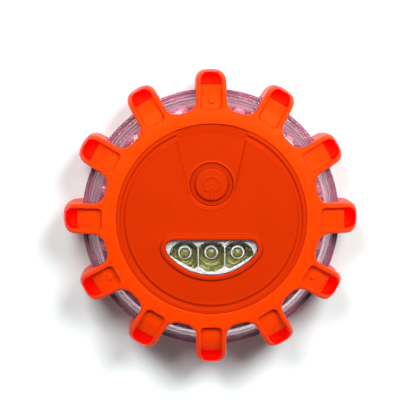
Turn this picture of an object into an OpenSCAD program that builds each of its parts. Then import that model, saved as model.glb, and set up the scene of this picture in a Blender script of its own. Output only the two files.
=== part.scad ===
// LED safety flare: a puck-shaped warning light with a toothed rubber jacket around a clear housing.
// Origin: centre of the resting face. +Z points out of the front face, +Y to the 12 o'clock tooth.

/* [Rubber jacket] */
// Diameter over the tips of the teeth
tip_d = 105; // [104.6:0.1:107]
// Number of teeth, with one flare LED in each gap between them
teeth = 12; // [9:3:12]
// Width of a tooth
tooth_w = 10.7; // [10:0.1:11]
// Width of the pocket in a tooth
pocket_w = 7.3; // [6.4:0.1:7.4]
// Radius of the blend between a tooth and the ring
root_blend = 3.5; // [3:0.1:3.6]
// Radius of the ring's outer edge in the gaps
ring_r = 38.3; // [38.1:0.1:38.6]

/* [Front face] */
// Distance of the power button above the centre
button_y = 12.2; // [11.8:0.1:12.6]
// Radius of the button's moving pad
pad_r = 5.8; // [5.5:0.1:6.3]
// How far the button travels when it is pressed
button_travel = 0.6; // [0.4:0.1:0.6]
// Distance of the torch LEDs below the centre
torch_y = 12.2; // [12:0.1:12.4]
// Spacing of the torch LEDs
torch_pitch = 9.3; // [9:0.1:9.4]

/* [Battery bay] */
// Diameter of an AAA cell
cell_d = 10.5; // [10.2:0.1:10.5]
// Length of an AAA cell, with its button
cell_l = 44.5; // [43.8:0.1:44.5]
// Radius of the round bay and its door opening
bay_r = 31; // [31:0.1:31.2]

/* [Back] */
// Radius of the magnet
magnet_r = 9.5; // [8.5:0.1:9.5]
// Thickness of the magnet
magnet_t = 3.2; // [2.6:0.1:3.2]
// Thickness of the folding hook
hook_t = 2.4; // [2:0.1:2.4]

/* [Hidden] */
$fn = 64;
eps = 0.01;

orange = [0.96, 0.26, 0.02];
dark_orange = [0.86, 0.20, 0.01];
clear_pink = [0.90, 0.78, 0.83, 0.45];
steel = [0.75, 0.75, 0.77];

// Heights. The two halves of the housing meet at the seam.
seam_z = 17;
ring_h = 16.4;            // front ring above the seam
face_h = 13.4;            // flat face of each housing half from the seam
wall = 1.9;               // wall of the clear housing
septum = 6;               // web between a tooth's front and back pockets
face_z = seam_z + face_h;
groove_z = 32.2;          // floor of the groove and of the thumb recess
ridge_z = 32.9;           // top of the rim ridge round the cap
island_z = 33.0;          // raised face of the front cap
lip_z = 34.0;             // top of the lip around the torch window
window_z = 33.2;          // clear window
board_z = 17.4;           // underside of the board
board_top = board_z + 1.6;
plunger_z = 2.2;          // foot of the switch plunger above the board
bay_top = 15.8;           // ceiling of the battery bay
cell_z = 10.4;            // axis of the cells
rear_z = 3.6;             // rear face of the clear housing
hinge_y = 25;             // hook's pin
hinge_z = 2.2;
door_z = 0.6;             // outer face of the door
magnet_z = 0.7;           // thin skin that closes the magnet's pocket
cell_pitch = 10.7;        // spacing of the cells' axes
contact_x = 24.5;         // inner faces of the contact plates
plate_x = 24.7;           // middle of the contact plates
case_head_z = 6.3;        // seat of the case screws' heads

// Radii
tip_r = tip_d / 2;
rim_r = 45.6;             // clear rim at the seam
shoulder_r = 43.4;        // foot of the clear shoulder
jacket_in_r = 33.4;        // inner edge of the jacket's rings
cap_r = 33.1;
ridge_r = 31.9;           // inner edge of the cap's rim ridge
island_r = 30.3;
door_r = 33.0;
board_r = 33.5;
boss_r = 37.3;            // circle of the case screws
post_r = 28.8;            // circle of the door and board screws

pocket_in_r = 38.3;       // inner end of the tooth pockets
tip_corner = 4.6;         // corner radius of a tooth
tip_arch = 9.5;           // radius of the arch at a tooth's tip
nub_z = 31.2;             // top of the moulding nubs

tooth_step = 360 / teeth;
tooth_angles = [for (i = [0 : teeth - 1]) 90 + i * tooth_step];
gap_angles = [for (a = tooth_angles) a + tooth_step / 2];
boss_angles = [90, 210, 330];
post_angles = [60, 120, 240, 300];
torch_xs = [-torch_pitch, 0, torch_pitch];
led_r = 2.5;
cup_r = 5.3;              // mouth of the torch reflector's cups
cup_z = 25;               // bottom of the cups
cup_drop = 1.0;           // how far the cups sit below their LEDs
led_z = board_top + 2.9;
flare_led_tip = 41.2;

// ---------- outlines ----------

// Half contour of one housing half, from the axis to the rim, moved in by t. Heights are from the seam.
function half_contour(t) = [
    [0, face_h - t],
    [38 - 0.2 * t, face_h - t],
    [shoulder_r - 2.4 - 0.8 * t, face_h - 1.1 - 0.9 * t],
    [shoulder_r - 0.4 - 0.95 * t, face_h - 3.2 - 0.6 * t],
    [shoulder_r - t, 8.4 - t],
    [rim_r - t, 7.6 - t],
    [rim_r - t, 0],
    [0, 0]
];

// Envelope of the teeth: a convex fall from the ring at height h to the tip, down to the seam.
function tooth_envelope(h) = [
    [jacket_in_r, h],
    [37.8, h],
    [42.6, h - 1.1],
    [47.4, 13.4],
    [51.1, 9.6],
    [tip_r - 0.1, 5],
    [tip_r, 3],
    [tip_r, 0],
    [jacket_in_r, 0]
];

// Floor of the pockets: a skin over the housing that ends in a step down.
pocket_floor = [
    [0, 14.2],
    [38.4, 14.1],
    [42.8, 13.0],
    [45.6, 11.5],
    [47.1, 10.2],
    [47.1, 0],
    [0, 0]
];

// One tooth along +X with its root blends. The tip is a slight arch.
module tooth_outline() {
    half = tooth_w / 2;
    blend_x = sqrt(pow(ring_r + root_blend, 2) - pow(half + root_blend, 2));
    blend_y = half + root_blend;
    difference() {
        union() {
            translate([jacket_in_r, -half]) square([tip_r - jacket_in_r - tip_corner, tooth_w]);
            polygon([[0, 0], [blend_x, -blend_y], [blend_x, blend_y]]);
            intersection() {
                translate([tip_r - tip_arch, 0]) circle(r = tip_arch);
                union() {
                    translate([ring_r, tip_corner - half])
                        square([tip_r - ring_r, tooth_w - 2 * tip_corner]);
                    for (s = [-1, 1]) translate([tip_r - tip_corner, s * (half - tip_corner)])
                        circle(r = tip_corner);
                }
            }
        }
        for (s = [-1, 1]) translate([blend_x, s * blend_y]) circle(r = root_blend);
    }
}

// Rectangle from x0 to x1, w wide, with corner radius r0 at its near end and r1 at its far end.
module slot_outline(x0, x1, w, r0, r1) {
    translate([x0 + r0, -w / 2]) square([x1 - x0 - r0 - r1, w]);
    translate([x0, r0 - w / 2]) square([r0 + 0.1, w - 2 * r0]);
    translate([x1 - r1 - 0.1, r1 - w / 2]) square([r1 + 0.1, w - 2 * r1]);
    for (s = [-1, 1]) {
        translate([x0 + r0, s * (w / 2 - r0)]) circle(r = r0);
        translate([x1 - r1, s * (w / 2 - r1)]) circle(r = r1);
    }
}

// Torch window: flat top, rounded corners and a lower edge concentric with the puck, grown by g.
module window_outline(g) {
    r = 19.6 + g;
    top = 7.2 - g;
    corner = 3.0 + g;
    corner_x = sqrt(pow(r - corner, 2) - pow(top + corner, 2));
    intersection() {
        circle(r = r);
        union() {
            translate([-corner_x, -r]) square([2 * corner_x, r - top]);
            polygon([[0, 0], [-2 * corner_x, -2 * (top + corner)], [0, -2 * r], [2 * corner_x, -2 * (top + corner)]]);
        }
        translate([-r, -r]) square([2 * r, r - top]);
    }
    for (s = [-1, 1]) translate([s * corner_x, -top - corner]) circle(r = corner);
}

// Thumb recess: a tongue that narrows from the edge of the cap to a round end under the button.
module tongue_outline() {
    r = 8.6;
    lean = 12.7;
    top = 40;
    half = r * cos(lean) + (top - button_y + r * sin(lean)) * tan(lean);
    translate([0, button_y]) circle(r = r);
    polygon([
        [r * cos(lean), button_y - r * sin(lean)],
        [half, top],
        [-half, top],
        [-r * cos(lean), button_y - r * sin(lean)]
    ]);
}

// ---------- shared shapes ----------

module at_polar(angles, r, z = 0) {
    for (a = angles) rotate([0, 0, a]) translate([r, 0, z]) children();
}

module tube(r_out, r_in, h) {
    difference() {
        cylinder(r = r_out, h = h);
        translate([0, 0, -eps]) cylinder(r = r_in, h = h + 2 * eps);
    }
}

// Solid bounded by the half contour, with its seam face at z = 0.
module housing_form(t) {
    rotate_extrude($fn = 128) polygon(half_contour(t));
}

// Tapping screw with its head down, its underhead face at z = 0 and its shank upwards.
module tapping_screw(head_r, head_h, shank_r, shank_l) {
    difference() {
        translate([0, 0, -head_h]) cylinder(r = head_r, h = head_h);
        for (a = [0, 90]) rotate([0, 0, a])
            translate([-head_r * 0.62, -0.35, -head_h - eps]) cube([head_r * 1.24, 0.7, head_h * 0.5]);
    }
    translate([0, 0, -0.4]) cylinder(r = shank_r, h = shank_l - shank_r + 0.4);
    translate([0, 0, shank_l - shank_r]) cylinder(r1 = shank_r, r2 = 0.3, h = shank_r);
}

// Round-nosed 5 mm LED standing on z = 0, h tall.
module led_body(h) {
    cylinder(r = led_r + 0.4, h = 1);
    cylinder(r = led_r, h = h - led_r);
    translate([0, 0, h - led_r]) sphere(r = led_r);
}

// ---------- rubber jacket ----------

// One half of the jacket: z = 0 is the seam, h the height of the ring.
module jacket_half(h) {
    difference() {
        intersection() {
            rotate_extrude($fn = 128) polygon(tooth_envelope(h));
            union() {
                cylinder(r = ring_r, h = h + 1);
                at_polar(tooth_angles, 0) linear_extrude(h + 1) tooth_outline();
            }
        }
        housing_form(0);
        intersection() {
            at_polar(tooth_angles, 0) linear_extrude(h + 2)
                slot_outline(pocket_in_r, tip_r - 1.4, pocket_w, 1.5, 3.2);
            difference() {
                translate([0, 0, septum / 2]) cylinder(r = tip_r + 5, h = h + 2);
                rotate_extrude($fn = 128) polygon(pocket_floor);
            }
        }
    }
}

module bumper_jacket() {
    color(orange) {
        translate([0, 0, seam_z]) jacket_half(ring_h);
        translate([0, 0, seam_z]) mirror([0, 0, 1]) jacket_half(seam_z);
        // moulding nubs on three pocket floors
        at_polar(boss_angles, 41, nub_z - 1.4) cylinder(r = 1, h = 1.4);
    }
}

// ---------- front face ----------

module front_cap() {
    color(dark_orange) difference() {
        union() {
            translate([0, 0, face_z]) cylinder(r = cap_r, h = groove_z - face_z);
            difference() {
                translate([0, 0, face_z]) cylinder(r = island_r, h = island_z - face_z);
                translate([0, 0, groove_z]) linear_extrude(5) tongue_outline();
            }
            difference() {
                translate([0, 0, face_z]) tube(cap_r, ridge_r, ridge_z - face_z);
                translate([0, 0, groove_z]) linear_extrude(5) tongue_outline();
            }
            translate([0, 0, face_z]) linear_extrude(lip_z - face_z) window_outline(1.9);
        }
        translate([0, 0, face_z - 1]) linear_extrude(10) window_outline(0);
        translate([0, 0, face_z - 1]) linear_extrude(window_z + 1.05 - face_z) window_outline(0.9);
        translate([0, button_y, face_z - 1]) cylinder(r = pad_r + 1.7, h = 10);
        translate([0, button_y, face_z - eps]) cylinder(r = pad_r + 3.3, h = 1.1);
    }
}

module power_mark() {
    difference() {
        tube(3.1, 2.1, 0.3);
        linear_extrude(1) polygon([[0, 0], [-4.4, -5.4], [4.4, -5.4]]);
    }
    translate([-0.6, -pad_r + 0.3, 0]) cube([1.2, pad_r - 0.9, 0.3]);
}

module power_button() {
    color(dark_orange) translate([0, button_y, 0]) {
        translate([0, 0, 30.5]) cylinder(r = pad_r + 3.1, h = 0.95);
        translate([0, 0, 30.5]) cylinder(r = pad_r + 1.62, h = 1.2);
        translate([0, 0, 30.5]) cylinder(r = pad_r, h = 2.4);
        translate([0, 0, 26.55]) cylinder(r = 2.2, h = 4);
        translate([0, 0, 32.88]) power_mark();
    }
}

// ---------- clear housing ----------

module lens_shell() {
    color(clear_pink) difference() {
        union() {
            difference() {
                translate([0, 0, seam_z]) housing_form(0);
                translate([0, 0, seam_z - eps]) housing_form(wall);
            }
            translate([0, 0, seam_z + face_h - wall]) linear_extrude(window_z - face_z + wall)
                window_outline(0.8);
            at_polar(boss_angles, boss_r, seam_z + 0.1) cylinder(r = 2.8, h = face_h - wall + 0.2);
        }
        translate([0, 0, seam_z]) linear_extrude(window_z - seam_z - 1.8) window_outline(0.12);
        translate([0, button_y, seam_z]) cylinder(r = 2.8, h = 20);
        translate([0, button_y, face_z - 0.6]) cylinder(r = pad_r + 3.4, h = 5);
        at_polar(boss_angles, boss_r, seam_z) cylinder(r = 1.35, h = 10.2);
    }
}

module back_shell() {
    color(clear_pink) difference() {
        union() {
            translate([0, 0, seam_z]) mirror([0, 0, 1]) difference() {
                housing_form(0);
                translate([0, 0, -eps]) housing_form(wall);
            }
            translate([0, 0, rear_z]) cylinder(r = bay_r + 1.4, h = seam_z - rear_z);
            at_polar(boss_angles, boss_r, 4.5) cylinder(r = 3, h = seam_z - 4.5);
        }
        difference() {
            translate([0, 0, 3]) cylinder(r = bay_r, h = bay_top - 3);
            at_polar(post_angles, post_r, 4.3) cylinder(r = 2.8, h = 20);
            for (s = [-1, 1]) {
                translate([s * 25.5 - 0.6, -16.2, 5]) cube([1.2, 32.4, 20]);
                translate([-15, s * cell_pitch / 2 - 0.5, 13]) cube([30, 1, 10]);
            }
        }
        at_polar(post_angles, post_r, 4) cylinder(r = 1.3, h = 6.6);
        at_polar(post_angles, post_r, 12.4) cylinder(r = 0.9, h = 10);
        at_polar(boss_angles, boss_r, 0) cylinder(r = 1.5, h = 30);
        at_polar(boss_angles, boss_r, 2) cylinder(r = 2.7, h = case_head_z - 2);
        translate([0, 0, seam_z - 1.1]) tube(rim_r - 0.7, rim_r - 1.4, 2);
        for (s = [-1, 1]) translate([s * plate_x - 0.4, -s * cell_pitch - 1.5, 12]) cube([0.8, 3, 10]);
    }
    // feet that carry the board
    color(clear_pink) at_polar(post_angles, post_r, seam_z - eps) tube(2.6, 0.9, board_z - seam_z + eps);
}

module seam_gasket() {
    color("dimgray") translate([0, 0, seam_z - 1.1]) tube(rim_r - 0.75, rim_r - 1.35, 1.1);
}

module case_screws() {
    color(steel) at_polar(boss_angles, boss_r, case_head_z) tapping_screw(2.4, 1.7, 1.3, 20.4);
}

// ---------- torch ----------

module torch_reflector() {
    top = 31.2;
    color("silver") difference() {
        union() {
            translate([0, 0, 23]) linear_extrude(top - 23) window_outline(0);
            for (s = [-1, 1]) translate([s * 13.7, -11.3, board_top]) cylinder(r = 1, h = 5);
        }
        for (x = torch_xs) translate([x, -torch_y, 0]) {
            translate([0, 0, 20]) cylinder(r = led_r + 0.2, h = 20);
            intersection() {
                translate([0, -cup_drop, cup_z]) cylinder(r1 = led_r + 0.2, r2 = cup_r, h = top - cup_z + eps);
                translate([-x, torch_y, 0]) linear_extrude(40) window_outline(-0.6);
            }
        }
    }
}

module torch_leds() {
    color("white") for (x = torch_xs) translate([x, -torch_y, board_top + 0.6]) led_body(8.6);
}

module torch_led_leads() {
    color(steel) for (x = torch_xs, s = [-1, 1])
        translate([x + s * 1.27 - 0.25, -torch_y - 0.25, board_z - 0.3]) cube([0.5, 0.5, 2.5]);
}

// ---------- flare ring ----------

module flare_leds() {
    color([0.85, 0.1, 0.1, 0.6]) at_polar(gap_angles, flare_led_tip - 8.7, led_z)
        rotate([0, 90, 0]) led_body(8.7);
}

module flare_led_leads() {
    color(steel) at_polar(gap_angles, flare_led_tip - 8.7) for (s = [-1, 1]) {
        translate([-2.2, s * 1.27 - 0.25, led_z - 0.25]) cube([2.2, 0.5, 0.5]);
        translate([-2.2, s * 1.27 - 0.25, board_z - 0.3]) cube([0.5, 0.5, led_z - board_z + 0.4]);
    }
}

// ---------- electronics ----------

module main_board() {
    color("darkgreen") difference() {
        translate([0, 0, board_z]) cylinder(r = board_r, h = board_top - board_z);
        at_polar(post_angles, post_r, board_z - 1) cylinder(r = 1.1, h = 5);
        at_polar(gap_angles, flare_led_tip - 8.7 - 1.95, board_z - 1)
            for (s = [-1, 1]) translate([0, s * 1.27, 0]) cylinder(r = 0.45, h = 5, $fn = 16);
        for (x = torch_xs, s = [-1, 1])
            translate([x + s * 1.27, -torch_y, board_z - 1]) cylinder(r = 0.45, h = 5, $fn = 16);
        for (s = [-1, 1]) translate([s * plate_x - 0.4, -s * cell_pitch - 1.5, board_z - 1]) cube([0.8, 3, 5]);
    }
}

module board_screws() {
    color(steel) at_polar(post_angles, post_r, board_top)
        rotate([180, 0, 0]) tapping_screw(1.9, 1.3, 0.85, 6);
}

module tact_switch() {
    color([0.15, 0.15, 0.16]) translate([0, button_y, board_top]) difference() {
        translate([-3, -3, 0]) cube([6, 6, 3.5]);
        translate([0, 0, plunger_z - button_travel - 0.4]) cylinder(r = 1.85, h = 5);
    }
    color(steel) translate([0, button_y, board_top]) for (x = [-3.6, 3], y = [-2.6, 1.9])
        translate([x, y, 0]) cube([0.6, 0.7, 1.6]);
}

module switch_plunger() {
    color([0.2, 0.2, 0.2]) translate([0, button_y, board_top + plunger_z]) cylinder(r = 1.75, h = 5.3);
}

module flasher_chip() {
    color([0.12, 0.12, 0.13]) translate([-15, -2, board_top + 0.2]) cube([5, 4, 1.5]);
    color(steel) for (i = [0 : 3], s = [-1, 1])
        translate([-14.6 + i * 1.27, s * 2.45 - 0.45, board_top]) cube([0.45, 0.9, 0.7]);
}

module board_parts() {
    color([0.2, 0.2, 0.25]) {
        for (i = [0 : 3]) translate([7 + i * 3.2, 4, board_top]) cube([1.6, 3.2, 0.7]);
        translate([17, -1, board_top]) cylinder(r = 2.5, h = 5.4);
        translate([-19, 8, board_top]) cube([3.2, 1.6, 0.9]);
        translate([-19, -9, board_top]) cube([3.2, 1.6, 0.9]);
    }
}

// ---------- batteries ----------

// One cell along X, s = 1 with its button to +X.
module aaa_cell(y, s) {
    color([0.25, 0.3, 0.35]) translate([s * (contact_x - cell_l), y, cell_z]) rotate([0, 90 * s, 0]) {
        cylinder(r = cell_d / 2, h = cell_l - 1);
        cylinder(r = 1.9, h = cell_l);
    }
}

// Coil of square wire, standing on z = 0, as a chain of flat links along a tapering helix.
module coil_spring(r0, r1, h, turns, wire) {
    steps = turns * 12;
    ring = [for (i = [0 : steps]) let (u = i / steps, a = 360 * turns * u, r = r0 + (r1 - r0) * u, z = h * u)
        for (c = [[-1, -1], [1, -1], [1, 1], [-1, 1]])
            [(r + c[0] * wire / 2) * cos(a), (r + c[0] * wire / 2) * sin(a), z + c[1] * wire / 2]];
    sides = [for (i = [0 : steps - 1], k = [0 : 3])
        [4 * i + k, 4 * i + (k + 1) % 4, 4 * i + 4 + (k + 1) % 4, 4 * i + 4 + k]];
    polyhedron(
        points = ring,
        faces = concat([[3, 2, 1, 0]], sides, [[4 * steps, 4 * steps + 1, 4 * steps + 2, 4 * steps + 3]]),
        convexity = 8
    );
}

module contact_springs() {
    gap = 2 * contact_x - cell_l;
    color(steel) for (c = [[-cell_pitch, -1], [0, 1], [cell_pitch, -1]])
        translate([c[1] * contact_x, c[0], cell_z]) rotate([0, -90 * c[1], 0])
            translate([0, 0, 0.4]) coil_spring(3.4, 2.0, gap - 0.8, 3, 0.6);
}

module contact_plates() {
    color(steel) {
        for (s = [-1, 1]) {
            translate([s * plate_x - 0.2, -s * cell_pitch - 4.2, 6]) cube([0.4, 8.4, 8.8]);
            translate([s * plate_x - 0.2, s * cell_pitch / 2 - 9.6, 6]) cube([0.4, 19.2, 8.8]);
            translate([s * plate_x - 0.2, -s * cell_pitch - 1.2, 14]) cube([0.4, 2.4, 5.8]);
        }
    }
}

// ---------- battery door ----------

module battery_door() {
    color(dark_orange) difference() {
        union() {
            translate([0, 0, door_z]) cylinder(r = door_r, h = 1.8);
            translate([0, 0, 2.3]) tube(bay_r - 0.2, bay_r - 1.6, 1.9);
            cylinder(r = magnet_r + 1.7, h = magnet_t + 1.5);
            intersection() {
                at_polar(post_angles, post_r, door_z) cylinder(r = 3.2, h = 3.4);
                cylinder(r = bay_r - 0.6, h = 10);
            }
            translate([-10.6, 7, door_z]) cube([21.2, 21.6, 4.2]);
            for (s = [-1, 1]) translate([s * 10.6 - 1, hinge_y - 2, door_z]) cube([2, 4, 3.7]);
        }
        translate([0, 0, magnet_z]) cylinder(r = magnet_r + 0.05, h = 10);
        translate([-9.8, magnet_r + 2.4, -eps]) cube([19.6, 28 - magnet_r - 2.4, 4]);
        translate([-11.2, hinge_y, hinge_z]) rotate([0, 90, 0]) cylinder(r = 0.82, h = 22.4);
        at_polar(post_angles, post_r, 0) cylinder(r = 1.45, h = 10);
        at_polar(post_angles, post_r, 0) cylinder(r = 2.6, h = 2.6);
    }
}

module door_gasket() {
    color("dimgray") translate([0, 0, 2.4]) tube(door_r - 0.3, bay_r + 0.3, 1.2);
}

module door_screws() {
    color(steel) at_polar(post_angles, post_r, 2.6) tapping_screw(2.3, 1.7, 1.25, 7.4);
}

module magnet() {
    color([0.35, 0.35, 0.37]) translate([0, 0, magnet_z]) cylinder(r = magnet_r, h = magnet_t);
}

module magnet_keeper() {
    color(steel) translate([0, 0, magnet_z + magnet_t]) cylinder(r = magnet_r, h = 0.8);
}

// Loop of the hook along +X, round at its free end.
module hook_outline(foot) {
    intersection() {
        slot_outline(foot, 35, 18.4, 5, 5);
        translate([foot, -15]) square([hinge_y - foot, 30]);
    }
}

// Folding bail: a barrel on the pin with a loop that lies flat towards the magnet.
module hanging_hook() {
    foot = magnet_r + 3.1;
    color(orange) translate([0, 0, hinge_z]) difference() {
        union() {
            translate([-9.4, hinge_y, 0]) rotate([0, 90, 0]) cylinder(r = 1.6, h = 18.8);
            translate([0, 0, -hook_t / 2]) linear_extrude(hook_t) rotate([0, 0, 90])
                hook_outline(foot);
        }
        translate([0, 0, -5]) linear_extrude(10) rotate([0, 0, 90])
            slot_outline(foot + 2.8, 22.9, 12.4, 2.2, 1);
        translate([-15, hinge_y, 0]) rotate([0, 90, 0]) cylinder(r = 0.85, h = 30);
    }
}

module hook_pin() {
    color(steel) translate([-11.1, hinge_y, hinge_z]) rotate([0, 90, 0]) cylinder(r = 0.8, h = 22.2);
}

// ---------- assembly ----------

bumper_jacket();
front_cap();
power_button();
lens_shell();
back_shell();
seam_gasket();
case_screws();
torch_reflector();
torch_leds();
torch_led_leads();
flare_leds();
flare_led_leads();
main_board();
board_screws();
tact_switch();
switch_plunger();
flasher_chip();
board_parts();
aaa_cell(-cell_pitch, 1);  // aaa_cell_1
aaa_cell(0, -1);  // aaa_cell_2
aaa_cell(cell_pitch, 1);  // aaa_cell_3
contact_springs();
contact_plates();
battery_door();
door_gasket();
door_screws();
magnet();
magnet_keeper();
hanging_hook();
hook_pin();
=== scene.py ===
import math

import bpy
import numpy as np
from mathutils import Matrix, Vector


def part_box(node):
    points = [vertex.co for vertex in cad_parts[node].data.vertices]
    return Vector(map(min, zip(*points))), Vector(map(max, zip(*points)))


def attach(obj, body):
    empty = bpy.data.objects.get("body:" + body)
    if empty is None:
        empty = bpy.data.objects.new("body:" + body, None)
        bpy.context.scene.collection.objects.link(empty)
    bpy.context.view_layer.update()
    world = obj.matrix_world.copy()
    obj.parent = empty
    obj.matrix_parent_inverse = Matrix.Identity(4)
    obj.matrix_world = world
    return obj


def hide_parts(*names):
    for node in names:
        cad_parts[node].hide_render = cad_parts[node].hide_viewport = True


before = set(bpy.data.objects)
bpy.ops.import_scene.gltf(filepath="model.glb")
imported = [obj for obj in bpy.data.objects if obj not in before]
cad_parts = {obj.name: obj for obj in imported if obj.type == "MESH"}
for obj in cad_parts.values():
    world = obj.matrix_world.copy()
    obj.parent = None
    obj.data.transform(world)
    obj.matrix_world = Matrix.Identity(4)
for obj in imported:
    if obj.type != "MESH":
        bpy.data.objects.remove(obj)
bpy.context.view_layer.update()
MM = 0.001
COARSE = 1.0


# ---------- measures, in millimetres, read from the CAD boxes ----------

def span(node):
    lo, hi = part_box(node)
    return [v / MM for v in lo], [v / MM for v in hi]


jacket_lo, jacket_hi = span("bumper_jacket")
cap_lo, cap_hi = span("front_cap")
lens_lo, lens_hi = span("lens_shell")
back_z = span("back_shell")[0][2]
button_lo, button_hi = span("power_button")
tray_lo, tray_hi = span("torch_reflector")
torch_lo, torch_hi = span("torch_leds")
flare_lo, flare_hi = span("flare_leds")

TEETH = 12
STEP = 2 * math.pi / TEETH
LED_R, LED_FLANGE_R = 2.5, 2.9
# how far the button's web and flange reach past its pad
WEB, FLANGE = 1.7, 3.1
# height of the underside of the button's flange
UNDER_Z = 30.5
# height of the cap's plain face
CAP_TOP = 33.0
CELL_PITCH, CELL_Z = 10.7, 10.4
# distance of the spring contacts and of the flat contacts from the middle of the bay
SPRING_X, PLATE_X = 24.5, 24.7
tip_r = jacket_hi[0]
seam = lens_lo[2]
ring_top = jacket_hi[2] - seam
rear_top = seam - jacket_lo[2]
rim_r = lens_hi[0]
cap_r = cap_hi[0]
face_z = cap_lo[2]
lip_z = cap_hi[2]
button_y = (button_lo[1] + button_hi[1]) / 2
pad_r = (button_hi[0] - button_lo[0]) / 2 - FLANGE
led_pitch = (torch_hi[0] - torch_lo[0]) / 2 - LED_FLANGE_R
torch_y = (torch_lo[1] + torch_hi[1]) / 2
torch_xs = [-led_pitch, 0, led_pitch]


# ---------- implicit shapes ----------

def rmax(a, b, r):
    """Intersection with a round convex edge of radius r."""
    if r <= 0:
        return np.maximum(a, b)
    return np.minimum(-r, np.maximum(a, b)) + np.hypot(np.maximum(r + a, 0), np.maximum(r + b, 0))


def rmin(a, b, r):
    """Union with a round concave fillet of radius r."""
    return -rmax(-a, -b, r)


def rbox(x, y, hx, hy, r):
    qx, qy = np.abs(x) - hx + r, np.abs(y) - hy + r
    return np.minimum(np.maximum(qx, qy), 0) + np.hypot(np.maximum(qx, 0), np.maximum(qy, 0)) - r


def convex(r, h, pts, k):
    """Region under a convex falling line of points, its corners rounded by k."""
    out = None
    for (r0, h0), (r1, h1) in zip(pts, pts[1:]):
        n = math.hypot(r1 - r0, h1 - h0)
        d = ((r - r0) * (h0 - h1) + (h - h0) * (r1 - r0)) / n
        out = d if out is None else np.maximum(out, d) + np.maximum(k - np.abs(out - d), 0) ** 2 / (4 * k)
    return out


def gradient(f, p, e=0.02):
    g = np.empty_like(p)
    for i in range(3):
        q = p.copy()
        q[:, i] += e
        s = p.copy()
        s[:, i] -= e
        g[:, i] = (f(q) - f(s)) / (2 * e)
    return g


CORNERS = [(a, b, c) for a in (0, 1) for b in (0, 1) for c in (0, 1)]
EDGES = [(i, j) for i in range(8) for j in range(i + 1, 8)
         if sum(abs(a - b) for a, b in zip(CORNERS[i], CORNERS[j])) == 1]


def net(f, axes, polar=False):
    """Surface net of f = 0 on a grid of three axes. A polar grid closes on itself along its second axis."""
    u, v, w = [np.asarray(a, float) for a in axes]
    if polar:
        v = np.concatenate([v, v[:2] + 2 * math.pi])

    def place(a, b, c):
        if polar:
            return np.stack([a * np.cos(b), a * np.sin(b), c], -1)
        return np.stack([a, b, c], -1)

    grid = place(*np.meshgrid(u, v, w, indexing="ij"))
    val = f(grid.reshape(-1, 3)).reshape(grid.shape[:3])
    if polar:
        val[:, -2:] = val[:, :2]
    inside = val < 0
    n = [len(u) - 1, len(v) - 1, len(w) - 1]
    count = sum(inside[a:a + n[0], b:b + n[1], c:c + n[2]].astype(np.int8) for a, b, c in CORNERS)
    active = (count > 0) & (count < 8)
    if polar:
        active[:, -1] = False
    idx = np.argwhere(active)
    ids = np.full(active.shape, -1, np.int64)
    ids[tuple(idx.T)] = np.arange(len(idx))
    if polar:
        ids[:, -1] = ids[:, 0]
    corner = [val[tuple((idx + c).T)] for c in CORNERS]
    total, hits = np.zeros((len(idx), 3)), np.zeros(len(idx))
    for i, j in EDGES:
        a, b = corner[i], corner[j]
        cross = (a < 0) != (b < 0)
        t = np.where(cross, a / np.where(cross, a - b, 1), 0)
        at = np.array(CORNERS[i]) + t[:, None] * (np.array(CORNERS[j]) - np.array(CORNERS[i]))
        total += at * cross[:, None]
        hits += cross
    local = total / hits[:, None]
    coord = []
    for k, axis in enumerate((u, v, w)):
        lo = axis[idx[:, k]]
        coord.append(lo + local[:, k] * (axis[idx[:, k] + 1] - lo))
    p = place(*coord)
    limit = 0.35 * max(np.diff(u).max(), np.diff(w).max())
    for _ in range(4):
        g = gradient(f, p)
        d = np.clip(f(p), -limit, limit)
        p = p - g * (d / np.maximum((g * g).sum(1), 0.2))[:, None]
    g = gradient(f, p)
    normals = g / np.maximum(np.linalg.norm(g, axis=1), 1e-9)[:, None]
    quads = []
    for axis in range(3):
        s = np.moveaxis(inside, axis, 0)
        m = np.moveaxis(ids, axis, 0)
        if axis == 1:
            s, m = s.transpose(0, 2, 1), m.transpose(0, 2, 1)
        # after the move the other two axes must stay in cyclic order
        e = s[:-1] != s[1:]
        i, j, k = np.nonzero(e[:, 1:-1, 1:-1])
        j, k = j + 1, k + 1
        if polar and axis == 1:
            keep = i < n[1] - 1
            i, j, k = i[keep], j[keep], k[keep]
        q = np.stack([m[i, j - 1, k - 1], m[i, j, k - 1], m[i, j, k], m[i, j - 1, k]], 1)
        flip = ~s[i, j, k]
        q[flip] = q[flip][:, ::-1]
        quads.append(q)
    return p, np.concatenate(quads), normals


def solid(name, verts, faces, normals=None):
    """Mesh object from millimetre vertices."""
    mesh = bpy.data.meshes.new(name)
    mesh.from_pydata((np.asarray(verts) * MM).tolist(), [], [list(map(int, f)) for f in faces])
    mesh.validate()
    mesh.polygons.foreach_set("use_smooth", [True] * len(mesh.polygons))
    if normals is not None and len(normals) == len(mesh.vertices):
        mesh.normals_split_custom_set_from_vertices(normals.tolist())
    mesh.update()
    obj = bpy.data.objects.new(name, mesh)
    bpy.context.scene.collection.objects.link(obj)
    return obj


def implicit(name, f, axes, polar=False):
    p, q, n = net(f, axes, polar)
    return solid(name, p, q, n)


def steps(*stops):
    """Grid line positions: stop, spacing, stop, spacing, ... stop."""
    out = [stops[0]]
    for a, gap, b in zip(stops[0::2], stops[1::2], stops[2::2]):
        k = max(1, round((b - a) / gap))
        out += [a + (b - a) * (i + 1) / k for i in range(k)]
    return out


# ---------- lathe ----------

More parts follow.
